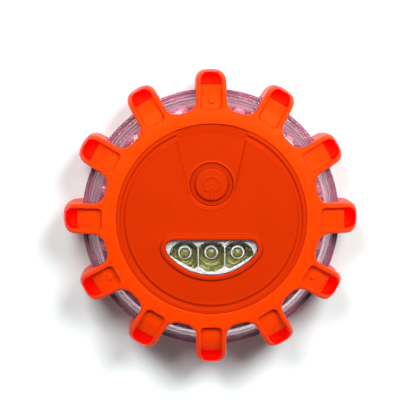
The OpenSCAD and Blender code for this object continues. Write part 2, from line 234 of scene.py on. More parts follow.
def rounded(points, seg=5):
    """Closed outline with each corner (x, y, radius) rounded."""
    out = []
    n = len(points)
    for i in range(n):
        p = np.array(points[i][:2], float)
        rad = points[i][2] if len(points[i]) > 2 else 0
        a = np.array(points[i - 1][:2], float) - p
        b = np.array(points[(i + 1) % n][:2], float) - p
        la, lb = np.linalg.norm(a), np.linalg.norm(b)
        if rad <= 0 or la < 1e-9 or lb < 1e-9:
            out.append(tuple(p))
            continue
        a, b = a / la, b / lb
        ang = math.acos(max(-1, min(1, float(a @ b))))
        if ang > 3.1:
            out.append(tuple(p))
            continue
        cut = min(rad / math.tan(ang / 2), la * 0.48, lb * 0.48)
        rr = cut * math.tan(ang / 2)
        mid = (a + b) / np.linalg.norm(a + b)
        c = p + mid * rr / math.sin(ang / 2)
        s, e = p + a * cut - c, p + b * cut - c
        sweep = math.pi - ang
        turn = 1 if s[0] * e[1] - s[1] * e[0] > 0 else -1
        base = math.atan2(s[1], s[0])
        for k in range(seg + 1):
            t = base + turn * sweep * k / seg
            out.append((c[0] + rr * math.cos(t), c[1] + rr * math.sin(t)))
    return out


def lathe(outline, seg=96):
    """Verts and faces of a closed (r, z) outline turned about z. Points on the axis become one vertex."""
    verts, rows = [], []
    for k, (r, z) in enumerate(outline):
        if r < 1e-6:
            rows.append([len(verts)] * seg)
            verts.append((0, 0, z))
        else:
            row = []
            for i in range(seg):
                t = 2 * math.pi * i / seg
                row.append(len(verts))
                verts.append((r * math.cos(t), r * math.sin(t), z))
            rows.append(row)
    faces = []
    n = len(rows)
    for k in range(n):
        a, b = rows[k], rows[(k + 1) % n]
        for i in range(seg):
            j = (i + 1) % seg
            f = []
            for v in (a[i], b[i], b[j], a[j]):
                if v not in f:
                    f.append(v)
            if len(f) > 2:
                faces.append(f)
    return np.array(verts, float), faces


def turned(verts, origin, axis):
    """Turns a z-up shape so that +z points along axis, then moves it to origin."""
    z = np.array(axis, float)
    z /= np.linalg.norm(z)
    x = np.cross((0, 0, 1) if abs(z[2]) < 0.9 else (1, 0, 0), z)
    x /= np.linalg.norm(x)
    y = np.cross(z, x)
    return verts @ np.array([x, y, z]) + np.array(origin, float)


def joined(name, parts):
    """One object from several (verts, faces) shells."""
    verts, faces, base = [], [], 0
    for v, f in parts:
        verts.append(np.asarray(v, float))
        faces += [[i + base for i in q] for q in f]
        base += len(v)
    return solid(name, np.concatenate(verts), faces)


def by_angle(obj, degrees=38):
    """Smooth faces with edges kept crisp past an angle."""
    obj.data.set_sharp_from_angle(angle=math.radians(degrees))
    return obj


# ---------- materials ----------

def material(name):
    m = bpy.data.materials.new(name)
    m.use_nodes = True
    nt = m.node_tree
    nt.nodes.clear()
    out = nt.nodes.new("ShaderNodeOutputMaterial")
    return m, nt, out


def wire(nt, a, b):
    nt.links.new(a, b)


def noise(nt, coord, scale, detail=3.0, rough=0.55):
    n = nt.nodes.new("ShaderNodeTexNoise")
    n.inputs["Scale"].default_value = scale
    n.inputs["Detail"].default_value = detail
    n.inputs["Roughness"].default_value = rough
    wire(nt, coord, n.inputs["Vector"])
    return n.outputs["Fac"]


def ramp(nt, fac, lo, hi, a, b):
    n = nt.nodes.new("ShaderNodeMapRange")
    n.inputs["From Min"].default_value = lo
    n.inputs["From Max"].default_value = hi
    n.inputs["To Min"].default_value = a
    n.inputs["To Max"].default_value = b
    wire(nt, fac, n.inputs["Value"])
    return n.outputs["Result"]


def mix(nt, fac, a, b):
    n = nt.nodes.new("ShaderNodeMix")
    n.data_type = "RGBA"
    if isinstance(fac, float):
        n.inputs["Factor"].default_value = fac
    else:
        wire(nt, fac, n.inputs["Factor"])
    for value, key in ((a, 6), (b, 7)):
        if isinstance(value, tuple):
            n.inputs[key].default_value = (*value[:3], 1)
        else:
            wire(nt, value, n.inputs[key])
    return n.outputs[2]


def paint(name, color, rough=0.5, metal=0.0, grain=900.0, bump=0.05, depth=0.0002, spread=0.06,
          coat=0.0, subsurface=0.0, radius=(1.0, 0.2, 0.05), spec=0.5, wear=0.0, brushed=False,
          sheen=(1, 1, 1), ior=1.5, reach=0.002):
    """Opaque finish with mottled colour, uneven roughness, fine surface grain and light wear on the edges."""
    m, nt, out = material(name)
    tex = nt.nodes.new("ShaderNodeTexCoord").outputs["Object"]
    b = nt.nodes.new("ShaderNodeBsdfPrincipled")
    fine_coord = tex
    if brushed:
        mp = nt.nodes.new("ShaderNodeMapping")
        mp.inputs["Scale"].default_value = (1, 1, 14)
        wire(nt, tex, mp.inputs["Vector"])
        fine_coord = mp.outputs["Vector"]
    broad = noise(nt, tex, grain * 0.06, 3)
    fine = noise(nt, fine_coord, grain, 4)
    dark = tuple(c * (1 - spread) for c in color)
    light = tuple(min(1, c * (1 + spread)) for c in color)
    col = mix(nt, ramp(nt, broad, 0.3, 0.7, 0, 1), dark, light)
    if wear > 0:
        geo = nt.nodes.new("ShaderNodeNewGeometry")
        edge = ramp(nt, geo.outputs["Pointiness"], 0.52, 0.6, 0, wear)
        pale = tuple(min(1, c * 0.85 + 0.12) for c in color)
        col = mix(nt, edge, col, pale)
    wire(nt, col, b.inputs["Base Color"])
    uneven = 0.07
    wire(nt, ramp(nt, fine, 0.25, 0.75, max(0.02, rough - uneven), min(1, rough + uneven)),
         b.inputs["Roughness"])
    b.inputs["Metallic"].default_value = metal
    b.inputs["IOR"].default_value = ior
    b.inputs["Specular IOR Level"].default_value = spec
    b.inputs["Specular Tint"].default_value = (*sheen, 1)
    if coat:
        b.inputs["Coat Weight"].default_value = coat
        b.inputs["Coat Roughness"].default_value = 0.12
    if subsurface:
        b.inputs["Subsurface Weight"].default_value = subsurface
        b.inputs["Subsurface Radius"].default_value = radius
        b.inputs["Subsurface Scale"].default_value = reach
    if bump:
        n = nt.nodes.new("ShaderNodeBump")
        n.inputs["Strength"].default_value = bump
        n.inputs["Distance"].default_value = depth
        wire(nt, fine, n.inputs["Height"])
        wire(nt, n.outputs["Normal"], b.inputs["Normal"])
    wire(nt, b.outputs["BSDF"], out.inputs["Surface"])
    return m


def clear(name, tint, rough=0.03, ior=1.5, shade=(0.9, 0.8, 0.8), haze=0.0, bump=0.02,
          cloud=(0.40, 0.18, 0.26)):
    """Clear plastic, with haze as the share of cloud mixed in. Shadow rays pass straight through it,
    tinted by shade, so the inside isn't left black."""
    m, nt, out = material(name)
    tex = nt.nodes.new("ShaderNodeTexCoord").outputs["Object"]
    g = nt.nodes.new("ShaderNodeBsdfPrincipled")
    g.inputs["Transmission Weight"].default_value = 1.0
    g.inputs["IOR"].default_value = ior
    fine = noise(nt, tex, 400.0, 3)
    mottled = mix(nt, ramp(nt, fine, 0.3, 0.7, 0, 1), tint, tuple(c * 0.97 for c in tint))
    wire(nt, mottled, g.inputs["Base Color"])
    wire(nt, ramp(nt, fine, 0.3, 0.7, rough, rough * 1.8 + 0.01), g.inputs["Roughness"])
    n = nt.nodes.new("ShaderNodeBump")
    n.inputs["Strength"].default_value = bump
    n.inputs["Distance"].default_value = 0.0002
    wire(nt, fine, n.inputs["Height"])
    wire(nt, n.outputs["Normal"], g.inputs["Normal"])
    body = g.outputs["BSDF"]
    if haze:
        d = nt.nodes.new("ShaderNodeBsdfDiffuse")
        d.inputs["Color"].default_value = (*cloud, 1)
        mh = nt.nodes.new("ShaderNodeMixShader")
        mh.inputs["Fac"].default_value = haze
        wire(nt, body, mh.inputs[1])
        wire(nt, d.outputs["BSDF"], mh.inputs[2])
        body = mh.outputs["Shader"]
    t = nt.nodes.new("ShaderNodeBsdfTransparent")
    t.inputs["Color"].default_value = (*shade, 1)
    path = nt.nodes.new("ShaderNodeLightPath")
    ms = nt.nodes.new("ShaderNodeMixShader")
    wire(nt, path.outputs["Is Shadow Ray"], ms.inputs["Fac"])
    wire(nt, body, ms.inputs[1])
    wire(nt, t.outputs["BSDF"], ms.inputs[2])
    wire(nt, ms.outputs["Shader"], out.inputs["Surface"])
    return m


def radial_mask(nt, tex, centres, r0, r1):
    """0 near any of the upright axes through centres, rising to 1 past r1 (millimetres)."""
    low = None
    for cx, cy in centres:
        sub = nt.nodes.new("ShaderNodeVectorMath")
        sub.operation = "SUBTRACT"
        wire(nt, tex, sub.inputs[0])
        sub.inputs[1].default_value = (cx * MM, cy * MM, 0)
        flat = nt.nodes.new("ShaderNodeVectorMath")
        flat.operation = "MULTIPLY"
        wire(nt, sub.outputs[0], flat.inputs[0])
        flat.inputs[1].default_value = (1, 1, 0)
        dist = nt.nodes.new("ShaderNodeVectorMath")
        dist.operation = "LENGTH"
        wire(nt, flat.outputs[0], dist.inputs[0])
        value = dist.outputs["Value"]
        if low is not None:
            m = nt.nodes.new("ShaderNodeMath")
            m.operation = "MINIMUM"
            wire(nt, low, m.inputs[0])
            wire(nt, value, m.inputs[1])
            value = m.outputs[0]
        low = value
    return ramp(nt, low, r0 * MM, r1 * MM, 0, 1)


def tint_by(mat, mask_for, inner_color):
    """Repaints a material's colour with inner_color where the mask is 0."""
    nt = mat.node_tree
    b = next(n for n in nt.nodes if n.type == "BSDF_PRINCIPLED")
    tex = next(n for n in nt.nodes if n.type == "TEX_COORD").outputs["Object"]
    old = b.inputs["Base Color"].links[0].from_socket
    wire(nt, mix(nt, mask_for(nt, tex), inner_color, old), b.inputs["Base Color"])
    return mat


def wear_it(obj, mat):
    obj.data.materials.clear()
    obj.data.materials.append(mat)
    return obj


def place(obj, mat, body, stands_for, slot):
    wear_it(obj, mat)
    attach(obj, body)
    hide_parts(*stands_for)
    return obj


ORANGE = (0.83, 0.042, 0.0006)
PLATE = (0.46, 0.0188, 0.0005)
# painted shade for the button's web, which lies lower than the pad
SHADED_WEB_RED = (0.38, 0.0135, 0.0005)
# painted glow colour for the tooth slots
SLOT_GLOW_RED = (0.95, 0.006, 0.001)
GLOW = (1.0, 0.30, 0.05)
rubber = paint("jacket_rubber_look", ORANGE, 0.43, bump=0.10, depth=0.0001, grain=1400, spread=0.03,
               subsurface=0.4, radius=(1.0, 0.06, 0.01), reach=0.004, wear=0.04, sheen=GLOW, ior=1.34)
plate = paint("cap_look", PLATE, 0.42, bump=0.08, depth=0.0001, grain=1600, spread=0.03, sheen=GLOW, ior=1.33)
pad = paint("button_look", SHADED_WEB_RED, 0.48, bump=0.10, depth=0.0001, grain=1400, spread=0.03, sheen=GLOW,
            ior=1.33)
lens_clear = clear("lens_look", (0.92, 0.73, 0.79), 0.02, 1.34, (0.78, 0.73, 0.75), haze=0.15, bump=0)


# ---------- bumper jacket ----------

def housing_form(r, h):
    top = convex(r, h, [(30, 13.4), (38, 13.4), (41, 12.3), (43, 10.2), (43.4, 8.0), (43.5, 0)], 0.4)
    flange = rmax(r - rim_r, h - 7.6, 0.3)
    return np.minimum(top, flange)


def skin_form(r, h):
    floor = convex(r, h, [(30, 14.2), (38.4, 14.1), (42.8, 13.0), (45.6, 11.5), (47.1, 10.2)], 1.6)
    return rmax(floor, r - 47.1, 0.3)


def jacket(p):
    x, y, z = p[:, 0], p[:, 1], p[:, 2]
    r = np.hypot(x, y)
    t = np.arctan2(y, x)
    s = np.round(t / STEP)
    lx, ly = r * np.cos(t - s * STEP), r * np.sin(t - s * STEP)
    h = np.abs(z - seam)
    top = np.where(z > seam, ring_top, rear_top)
    falling = [(37.8, 16.4), (42.6, 15.3), (47.4, 13.4), (51.1, 9.6), (tip_r + 0.4, 5), (tip_r + 0.5, 0)]
    env = convex(r, h * ring_top / top, falling, 2.5)
    env = rmax(env, h - top, 0.8)
    tooth = rbox(lx - (tip_r - 20), ly, 20.3, 5.35, 4.6)
    tooth = rmax(tooth, np.hypot(lx - (tip_r - 9.5), ly) - 9.55, 0.4)
    plan = rmin(tooth, r - 38.3, 3.5)
    body = rmax(plan, env, 1.1)
    body = rmax(body, cap_r + 0.22 - r, 0.4)
    slot = rmax(rbox(lx - 44.75, ly, 6.45, 3.65, 1.5), rbox(lx - 40.9, ly, 10.3, 3.65, 3.2), 0)
    slot = rmax(slot, np.hypot(lx - (tip_r - 9.5), ly) - 8.1, 0.4)
    skin = skin_form(r, h)
    void = rmax(slot, -skin, 0.35)
    void = rmax(void, 3.0 - h, 0.8)
    body = rmax(body, -void, 0.5)
    nub = np.hypot(lx - 41.2, ly)
    is_nub = (np.mod(s - 3, 4) == 0) & (z > seam)
    knob = rmax(nub - 0.95, skin - 0.55, 0.25)
    body = np.where(is_nub, rmin(body, knob, 0.15), body)
    return np.maximum(body, -housing_form(r, h))


fine = 1.0
angles = [STEP * (i + 0.37) / round(44 / fine) - STEP / 2 for i in range(round(44 / fine) * TEETH)]
jacket_axes = (
    steps(32.7, 0.5 * fine, 40.4, 0.7 * fine, 46.5, 0.55 * fine, 49.5, 0.42 * fine, tip_r + 0.8),
    angles,
    steps(-0.8, 0.6 * fine, 6, 0.9 * fine, 24, 0.6 * fine, 27.5, 0.42 * fine, jacket_hi[2] + 0.8),
)
jacket_obj = implicit("jacket_skin", jacket, jacket_axes, polar=True)


def painted_slot_glow(p):
    """Painted glow: how deep each point (millimetres) lies in a tooth's slot, where a deeper red and a faint
    emission stand in for light shining through the rubber.
    """
    r = np.hypot(p[:, 0], p[:, 1])
    t = np.arctan2(p[:, 1], p[:, 0])
    lx, ly = r * np.cos(t - np.round(t / STEP) * STEP), r * np.sin(t - np.round(t / STEP) * STEP)
    h = np.abs(p[:, 2] - seam)
    inside = (lx > 46.6) & (lx < tip_r - 0.9) & (np.abs(ly) < 3.8)
    return inside * np.clip((9.9 - h) / 1.6, 0, 1)


co = np.empty(len(jacket_obj.data.vertices) * 3)
jacket_obj.data.vertices.foreach_get("co", co)
glow_layer = jacket_obj.data.attributes.new("painted_slot_glow", "FLOAT", "POINT")
glow_layer.data.foreach_set("value", painted_slot_glow(co.reshape(-1, 3) / MM))
nt = rubber.node_tree
layer = nt.nodes.new("ShaderNodeAttribute")
layer.attribute_name = "painted_slot_glow"
skin = next(n for n in nt.nodes if n.type == "BSDF_PRINCIPLED")
own_color = skin.inputs["Base Color"].links[0].from_socket
# painted glow: deeper red and a faint red emission in the slots, standing in for light shining through the
# rubber
wire(nt, mix(nt, layer.outputs["Fac"], own_color, SLOT_GLOW_RED), skin.inputs["Base Color"])
skin.inputs["Emission Color"].default_value = (1, 0.002, 0.001, 1)
wire(nt, ramp(nt, layer.outputs["Fac"], 0, 1, 0, 0.11), skin.inputs["Emission Strength"])
place(jacket_obj, rubber, "housing", ["bumper_jacket"], "jacket_rubber")


# ---------- front cap ----------

def window_form(x, y, g):
    """The torch window's outline grown by g."""
    r, top, corner = 19.6 + g, 7.2 - g, 3.0 + g
    cx = math.sqrt((r - corner) ** 2 - (top + corner) ** 2)
    base = np.maximum(np.hypot(x, y) - r, y + top)
    ax = np.abs(x) - cx
    # past the corner centre the outline is the corner circle
    past = ax * (top + corner) + (y + top + corner) * cx > 0
    round_corner = np.hypot(ax, y + top + corner) - corner
    return np.where((ax > 0) & past, round_corner, base)


def tongue_form(x, y):
    lean = math.radians(12.7)
    side = (np.abs(x)) * math.cos(lean) - (y - button_y) * math.sin(lean) - 8.6
    circle = np.hypot(x, y - button_y) - 8.6
    return np.where(y > button_y - 8.6 * math.sin(lean), side, circle)


def bevelled(d, width):
    """1 well inside d < 0, 0 outside, a smooth ramp of the given width between."""
    t = np.clip(0.5 - d / width, 0, 1)
    return t * t * (3 - 2 * t)


def cap(p):
    x, y, z = p[:, 0], p[:, 1], p[:, 2]
    r = np.hypot(x, y)
    tongue = tongue_form(x, y)
    in_tongue = bevelled(tongue + 0.3, 1.0)
    top = np.full_like(r, CAP_TOP)
    groove = np.exp(-((r - 31.1) / 0.75) ** 4) * 0.55
    crest = np.exp(-((r - 29.9) / 0.35) ** 2) * 0.07 + np.exp(-((r - 32.2) / 0.3) ** 2) * 0.07
    top = top - groove + crest
    rim_blend = np.clip((r - 30.0) / 3.0, 0, 1)
    recess = CAP_TOP - 0.62 + 0.25 * rim_blend
    top = top * (1 - in_tongue) + recess * in_tongue
    q = np.hypot(x, y - button_y)
    crest = np.exp(-((tongue - 0.15) / 0.4) ** 2) * np.clip((31.5 - r) / 2, 0, 1)
    crest += np.exp(-((q - pad_r - 2.1) / 0.35) ** 2)
    top = top + crest * 0.12
    d = rmax(z - top, r - cap_r - 0.2, 0.08)
    lip = rmax(window_form(x, y, 1.9), z - lip_z, 0.75)
    d = rmin(d, lip, 0.35)
    d = rmax(d, -window_form(x, y, 0), 0.4)
    d = np.maximum(d, -np.maximum(window_form(x, y, 0.9), z - 33.25))
    d = rmax(d, pad_r + WEB - q, 0.25)
    d = np.maximum(d, -np.maximum(q - pad_r - 3.3, z - face_z - 1.1))
    return np.maximum(d, face_z - z)


cell = 0.34 * COARSE
cap_obj = implicit("cap_plate", cap, (
    steps(-cap_r - 0.8, cell, cap_r + 0.8),
    steps(-cap_r - 0.75, cell, cap_r + 0.85),
    steps(face_z - 0.4, 0.4, lip_z + 0.5),
))
place(cap_obj, plate, "housing", ["front_cap"], "cap_plastic")


# ---------- power button ----------

# painted shade: the web round the pad is coloured darker than the pad, for the shade where it lies lower
tint_by(pad, lambda nt, tex: radial_mask(nt, tex, [(0, button_y)], pad_r - 0.1, pad_r + 0.1), PLATE)


def button(p):
    x, y, z = p[:, 0], p[:, 1] - button_y, p[:, 2]
    q = np.hypot(x, y)
    base = button_lo[2]
    pad_top = button_hi[2] - 0.28
    d = rmax(q - pad_r, z - pad_top - 0.10 * np.clip(1 - (q / pad_r) ** 2, 0, 1), 0.7)
    d = np.maximum(d, UNDER_Z - z)
    web = np.maximum(rmax(q - pad_r - WEB + 0.04, z - 31.95, 0.05), UNDER_Z - z)
    flange = np.maximum(rmax(q - pad_r - FLANGE, z - 31.4, 0.1), UNDER_Z - z)
    stem = np.maximum(np.maximum(q - 2.2, base - z), z - 31)
    d = rmin(d, web, 0.5)
    # the fillets must not sink below the flat underside, or the pressed button would touch the housing
    d = np.maximum(np.minimum(d, flange), UNDER_Z - z)
    d = rmin(d, stem, 0.3)
    ang = np.arctan2(x, -y)
    arc = np.abs(q - 2.7) - 0.5
    gap = math.radians(38)
    ends = np.hypot(x - np.sign(x) * 2.7 * math.sin(gap), y + 2.7 * math.cos(gap)) - 0.5
    arc = np.where(np.abs(ang) < gap, ends, arc)
    bar = np.hypot(x, y - np.clip(y, -pad_r + 0.9, -1.2)) - 0.6
    mark = rmax(np.minimum(arc, bar), z - button_hi[2], 0.3)
    mark = np.maximum(mark, 31 - z)
    return rmin(d, mark, 0.12)


cell = 0.2 * COARSE
button_obj = implicit("button_pad", button, (
    steps(button_lo[0] - 0.4, cell, button_hi[0] + 0.4),
    steps(button_lo[1] - 0.4, cell, button_hi[1] + 0.4),
    steps(button_lo[2] - 0.3, 0.6, 30.2, 0.2, button_hi[2] + 0.4),
))
place(button_obj, pad, "power_button", ["power_button"], "button_rubber")


# ---------- clear housing ----------

def half_outline(sign):
    """Closed outline of one housing half: outside from the axis to the seam, then back along the inside."""
    outer = [(0, 13.4, 0), (38.2, 13.4, 1.5), (41.0, 12.3, 2.0), (43.0, 10.2, 1.6), (43.4, 7.6, 0.5),
             (rim_r - 0.1, 7.55, 0.7), (rim_r, 0, 0)]
    inner = [(43.7, 0, 0), (43.6, 5.7, 0.6), (41.5, 6.2, 0.8), (41.1, 9.2, 1.2), (39.8, 10.7, 1.6),
             (37.7, 11.5, 1.2), (0, 11.5, 0)]
    return rounded([(r, seam + sign * h, k) for r, h, k in outer + inner], 5)


def flat_outline(dist, extent, seg=160):
    """Outline where dist(x, y) = 0, found along rays from a point inside."""
    cx, cy, reach = extent
    pts = []
    for k in range(seg):
        a = 2 * math.pi * k / seg
        lo, hi = 0.0, reach
        for _ in range(34):
            mid = (lo + hi) / 2
            d = dist(np.array([cx + mid * math.cos(a)]), np.array([cy + mid * math.sin(a)]))[0]
            lo, hi = (mid, hi) if d < 0 else (lo, mid)
        pts.append((cx + lo * math.cos(a), cy + lo * math.sin(a)))
    return pts


def prism(outline, z0, z1):
    n = len(outline)
    verts = [(x, y, z0) for x, y in outline] + [(x, y, z1) for x, y in outline]
    faces = [(i, (i + 1) % n, n + (i + 1) % n, n + i) for i in range(n)]
    faces += [tuple(range(n))[::-1], tuple(range(n, 2 * n))]
    return np.array(verts, float), faces


def rod(r, z0, z1, x=0, y=0, seg=48):
    turn = [2 * math.pi * k / seg for k in range(seg)]
    return prism([(x + r * math.cos(t), y + r * math.sin(t)) for t in turn], z0, z1)


def boolean(obj, tools, mode="DIFFERENCE"):
    """Exact boolean of an object with separate (verts, faces) shells."""
    other = joined("tool", tools)
    m = obj.modifiers.new("cut", "BOOLEAN")
    m.operation, m.solver, m.object = mode, "EXACT", other
    mesh = bpy.data.meshes.new_from_object(obj.evaluated_get(bpy.context.evaluated_depsgraph_get()))
    obj.modifiers.clear()
    obj.data = mesh
    bpy.data.objects.remove(other)
    return obj


SEG = 480
BOSS_ANGLES = [90, 210, 330]
boss_r = 37.3
window_mid = -(7.2 + 19.6) / 2
bosses = [(boss_r * math.cos(math.radians(a)), boss_r * math.sin(math.radians(a))) for a in BOSS_ANGLES]
lens = solid("lens_clear", *lathe(half_outline(1), SEG))


def window_prism(g, z0, z1):
    return prism(flat_outline(lambda x, y: window_form(x, y, g), (0, window_mid, 30)), z0, z1)


boolean(lens, [rod(2.8, seam + 0.1, 28.7, x, y) for x, y in bosses] + [window_prism(0.8, 29, 33.2)], "UNION")
boolean(lens, [rod(1.35, seam - 1, 27.2, x, y) for x, y in bosses] + [window_prism(0.12, 20, 31.4)])
boolean(lens, [rod(pad_r + 3.4, 29.8, 40, 0, button_y)])
boolean(lens, [rod(2.8, 20, 40, 0, button_y)])
by_angle(lens, 42)
# the window and the middle are clearer and less tinted than the band
nt = lens_clear.node_tree
spot = next(n for n in nt.nodes if n.type == "TEX_COORD").outputs["Object"]
over = radial_mask(nt, spot, [(0, 0)], 28, 34)
for kind, key in (("BSDF_PRINCIPLED", "Base Color"), ("BSDF_TRANSPARENT", "Color")):
    end = next(n for n in nt.nodes if n.type == kind).inputs[key]
    rim_color = end.links[0].from_socket if end.links else tuple(end.default_value)[:3]
    wire(nt, mix(nt, over, (0.97, 0.97, 0.97), rim_color), end)
hazy = next(n for n in nt.nodes if n.type == "MIX_SHADER" and not n.inputs["Fac"].links)
wire(nt, ramp(nt, over, 0, 1, 0, 0.13), hazy.inputs["Fac"])
place(lens, lens_clear, "housing", ["lens_shell"], "clear_plastic")

# ---------- torch reflector and LEDs ----------

tray_top = tray_hi[2]


def tray(p):
    x, y, z = p[:, 0], p[:, 1], p[:, 2]
    d = rmax(window_form(x, y, -0.02), np.maximum(z - tray_top, 23.2 - z), 0.15)
    side = window_form(x, y, -0.12) + 0.95 * np.clip((torch_y - y) / 3, 0, 1)
    cups = None
    for cx in torch_xs:
        q = np.hypot(x - cx, y - torch_y + 1.0)
        t = np.clip((z - 25.2) / (tray_top - 25.2), 0, 1)
        cup = np.maximum(q - (3.4 + 2.15 * np.sqrt(t)), 25.2 - z) * 0.8
        well = np.hypot(x - cx, y - torch_y) - LED_R - 0.2
        wall = 0.2 - np.abs(np.abs(x) - led_pitch / 2)
        cup = np.minimum(rmax(np.maximum(cup, wall), side, 0.2), well)
        cups = cup if cups is None else np.minimum(cups, cup)
    return rmax(d, -cups, 0.1)


cell = 0.26 * COARSE
tray_obj = implicit("reflector_tray", tray, (
    steps(tray_lo[0] - 1.6, cell, tray_hi[0] + 1.6),
    steps(tray_lo[1] - 1.6, cell, tray_hi[1] + 1.6),
    steps(22.6, cell, tray_top + 0.5),
))


def painted_reflection_mask(nt, tex):
    """Painted reflection and highlight: 0 down in the cups and towards their lower side, painted olive as the
    chips mirrored there; 1 on the rims, and up to 0.8 on the cups' upper side as a painted highlight of the
    lamps.
    """
    xyz = nt.nodes.new("ShaderNodeSeparateXYZ")
    wire(nt, tex, xyz.inputs[0])
    rim = ramp(nt, xyz.outputs["Z"], (tray_top - 0.7) * MM, (tray_top - 0.2) * MM, 0, 1)
    upper = ramp(nt, xyz.outputs["Y"], (torch_y + 2.2) * MM, (torch_y + 3.6) * MM, 0, 0.8)
    m = nt.nodes.new("ShaderNodeMath")
    m.operation = "MAXIMUM"
    wire(nt, rim, m.inputs[0])
    wire(nt, upper, m.inputs[1])
    return m.outputs[0]


torch_axes = [(cx, torch_y) for cx in torch_xs]
silver = paint("reflector_look", (0.47, 0.47, 0.48), 0.25, metal=0.45, grain=900, bump=0.05, spread=0.04)
# painted reflection: the cups are tinted olive for the chips mirrored in them, their upper side kept silver
# as a painted highlight
tint_by(silver, painted_reflection_mask, (0.145, 0.142, 0.045))
place(tray_obj, silver, "housing", ["torch_reflector"], "reflector_silver")

LED_OUT = [(0, 0, 0), (LED_FLANGE_R, 0, 0.1), (LED_FLANGE_R, 1.0, 0.1), (LED_R, 1.0, 0.05)]


def led_shape(height):
    """Round-nosed 5 mm LED standing on z = 0."""
    pts = rounded(LED_OUT, 2)
    base = height - LED_R
    pts += [(LED_R * math.cos(a), base + LED_R * math.sin(a)) for a in np.linspace(0, math.pi / 2, 14)[:-1]]
    pts.append((0, height))
    return lathe(pts, 48)


led_white = paint("white_led_look", (0.95, 0.95, 0.93), 0.2, grain=700, bump=0.02, spread=0.02)
tint_by(led_white, lambda nt, tex: radial_mask(nt, tex, torch_axes, 1.84, 1.96), (0.01, 0.01, 0.008))
tint_by(led_white, lambda nt, tex: radial_mask(nt, tex, torch_axes, 1.55, 1.67), (0.095, 0.09, 0.025))
v, f = led_shape(torch_hi[2] - torch_lo[2])
torch_obj = joined("torch_led_bodies", [(v + np.array([cx, torch_y, torch_lo[2]]), f) for cx in torch_xs])
by_angle(torch_obj, 50)
place(torch_obj, led_white, "housing", ["torch_leds"], "white_led")

# ---------- flare LEDs ----------

flare_tip = 41.2
flare_base = flare_tip - 8.7
flare_z = (flare_lo[2] + flare_hi[2]) / 2
v, f = led_shape(flare_tip - flare_base)
parts = []
for k in range(TEETH):
    a = STEP * (k + 0.5)
    ax = (math.cos(a), math.sin(a), 0)
    parts.append((turned(v, (flare_base * ax[0], flare_base * ax[1], flare_z), ax), f))
flare_obj = joined("flare_led_bodies", parts)
by_angle(flare_obj, 50)
red_led = paint("red_led_look", (0.50, 0.26, 0.31), 0.12, grain=700, bump=0.02, spread=0.03, coat=0.5,
                subsurface=0.3, radius=(1, 0.3, 0.3))


def facing_mask(nt, tex):
    """1 where the surface faces the viewer, 0 towards its outline."""
    weight = nt.nodes.new("ShaderNodeLayerWeight")
    weight.inputs["Blend"].default_value = 0.5
    return ramp(nt, weight.outputs["Facing"], 0.35, 0.75, 1, 0)


tint_by(red_led, facing_mask, (0.16, 0.006, 0.02))
place(flare_obj, red_led, "housing", ["flare_leds"], "red_led")

# ---------- rear half of the clear housing ----------

bay_r = 31
post_r = 28.8
post_angles = [math.radians(a) for a in (60, 120, 240, 300)]
posts = [(post_r * math.cos(a), post_r * math.sin(a)) for a in post_angles]
outer = [(bay_r + 1.4, seam, 0), (bay_r + 1.4, 5.5, 0.6), (37.7, 5.5, 1.2), (39.8, 6.3, 1.6),
         (41.1, 7.8, 1.2), (41.5, 10.8, 0.8), (43.6, 11.3, 0.6), (43.7, seam, 0.1), (rim_r - 1.4, seam, 0.05),
         (rim_r - 1.4, 15.9, 0), (rim_r - 0.7, 15.9, 0), (rim_r - 0.7, seam, 0.05), (rim_r, seam, 0.15),
         (rim_r - 0.1, 9.45, 0.7), (43.4, 9.4, 0.5), (43.0, 6.8, 1.6), (41.0, 4.7, 2.0), (38.2, 3.6, 1.5),
         (bay_r, back_z, 0.3), (bay_r, 15.8, 0.6), (0, 15.8, 0), (0, seam, 0)]
back = solid("back_clear", *lathe(rounded(outer, 4), SEG))


def block(cx, cy, hx, hy, z0, z1):
    """Upright box of half sizes hx and hy round (cx, cy)."""
    return prism([(cx - hx, cy - hy), (cx + hx, cy - hy), (cx + hx, cy + hy), (cx - hx, cy + hy)], z0, z1)


end_walls = [block(x, 0, 0.6, 16.2, 5, 16) for x in (-25.5, 25.5)]
cell_ribs = [block(0, y, 15, 0.5, 13, 16) for y in (-CELL_PITCH / 2, CELL_PITCH / 2)]
wire_slots = [block(s * PLATE_X, -s * CELL_PITCH, 0.4, 1.5, 12, 20) for s in (-1, 1)]
boolean(back, [rod(3, 4.5, seam, x, y) for x, y in bosses] + [rod(2.8, 4.3, 16, x, y) for x, y in posts]
        + end_walls + cell_ribs + [rod(2.6, seam - 0.4, seam + 0.4, x, y) for x, y in posts], "UNION")
boolean(back, [rod(1.5, 6, 30, x, y) for x, y in bosses] + [rod(1.3, 4, 10.6, x, y) for x, y in posts]
        + [rod(0.9, 12.4, 20, x, y) for x, y in posts] + wire_slots)
boolean(back, [rod(2.7, 2, 6.3, x, y) for x, y in bosses])
by_angle(back, 42)
back_look = clear("back_look", (0.86, 0.56, 0.65), 0.05, 1.34, (0.72, 0.66, 0.68), haze=0.14, bump=0)
place(back, back_look, "housing", ["back_shell"], "clear_plastic")


# ---------- screws ----------

def threaded(r, root, z0, z1, pitch):
    """Screw shank from z0 to z1 with a real helical thread and a tapered end."""
    seg = 24
    rows = max(8, round((z1 - z0) / pitch * 8))
    verts, faces = [(0, 0, z0)], []
    for k in range(rows + 1):
        z = z0 + (z1 - z0) * k / rows
        taper = min(1, (z1 - z) / (1.4 * r) + 0.15)
        for i in range(seg):
            u = (z / pitch - i / seg) % 1
            ridge = max(0, 1 - abs(u - 0.5) * 3.2)
            rr = (root + (r - root) * ridge) * taper
            t = 2 * math.pi * i / seg
            verts.append((rr * math.cos(t), rr * math.sin(t), z))
    verts.append((0, 0, z1))
    last = len(verts) - 1
    for i in range(seg):
        j = (i + 1) % seg
        faces.append((0, 1 + j, 1 + i))
        for k in range(rows):
            a = 1 + k * seg
            faces.append((a + i, a + j, a + seg + j, a + seg + i))
        faces.append((1 + rows * seg + i, 1 + rows * seg + j, last))
    return np.array(verts, float), faces


